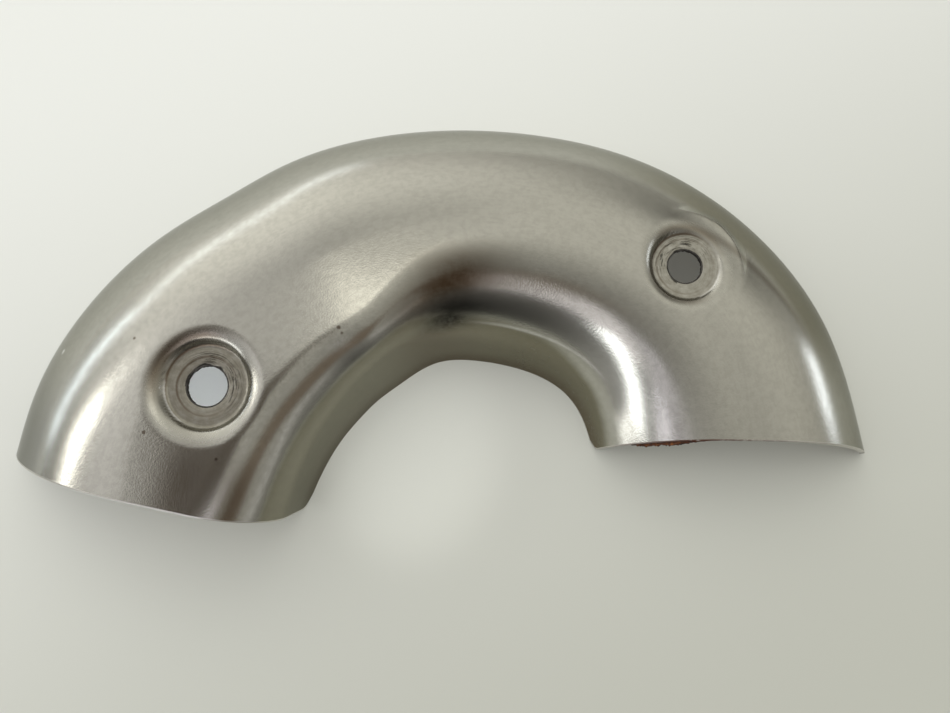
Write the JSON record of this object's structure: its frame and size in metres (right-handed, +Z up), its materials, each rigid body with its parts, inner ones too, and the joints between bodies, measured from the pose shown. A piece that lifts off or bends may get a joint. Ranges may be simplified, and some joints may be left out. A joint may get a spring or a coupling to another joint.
{
  "type": "exhaust heat shield",
  "caption": "Bent half-tube sheet-metal heat shield that covers one side of an exhaust pipe bend, open underneath, with recessed round bolt seats.",
  "frame": {"origin": "middle of the bounding box's bottom face, on the surface the shield lies on with its open side down", "axes": "+X from the taller end's leg to the lower end's leg, +Y from the ends towards the outside of the bend, +Z up out of the closed side"},
  "size_m": [0.1684, 0.0802, 0.024],
  "materials": {
    "stainless": "satin, worn"
  },
  "bodies": {
    "root": {"heat_shield": "stainless"}
  },
  "joints": []
}
